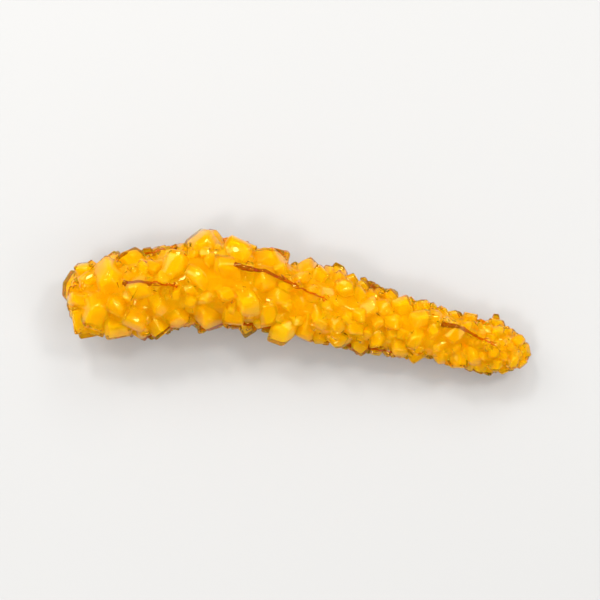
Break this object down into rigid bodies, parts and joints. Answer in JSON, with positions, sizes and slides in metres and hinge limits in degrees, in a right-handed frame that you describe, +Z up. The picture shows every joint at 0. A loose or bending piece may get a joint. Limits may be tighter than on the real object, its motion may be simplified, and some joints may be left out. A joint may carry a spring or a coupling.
{
  "type": "rock candy stick",
  "caption": "Stick of amber saffron rock candy: an uneven, slightly bent mass of blocky sugar crystals, broad at one end and tapering to the other.",
  "frame": {"origin": "on the resting plane, under the middle of the stick's box", "axes": "+X along the stick towards its narrow end, +Y across it towards the outside of its bend, +Z up"},
  "size_m": [0.1046, 0.0288, 0.0188],
  "materials": {
    "sugar": "translucent amber sugar crystal, glossy facets",
    "saffron": "dark red-brown dried threads, dull"
  },
  "bodies": {
    "root": {"rock_candy": "sugar"}
  },
  "joints": []
}
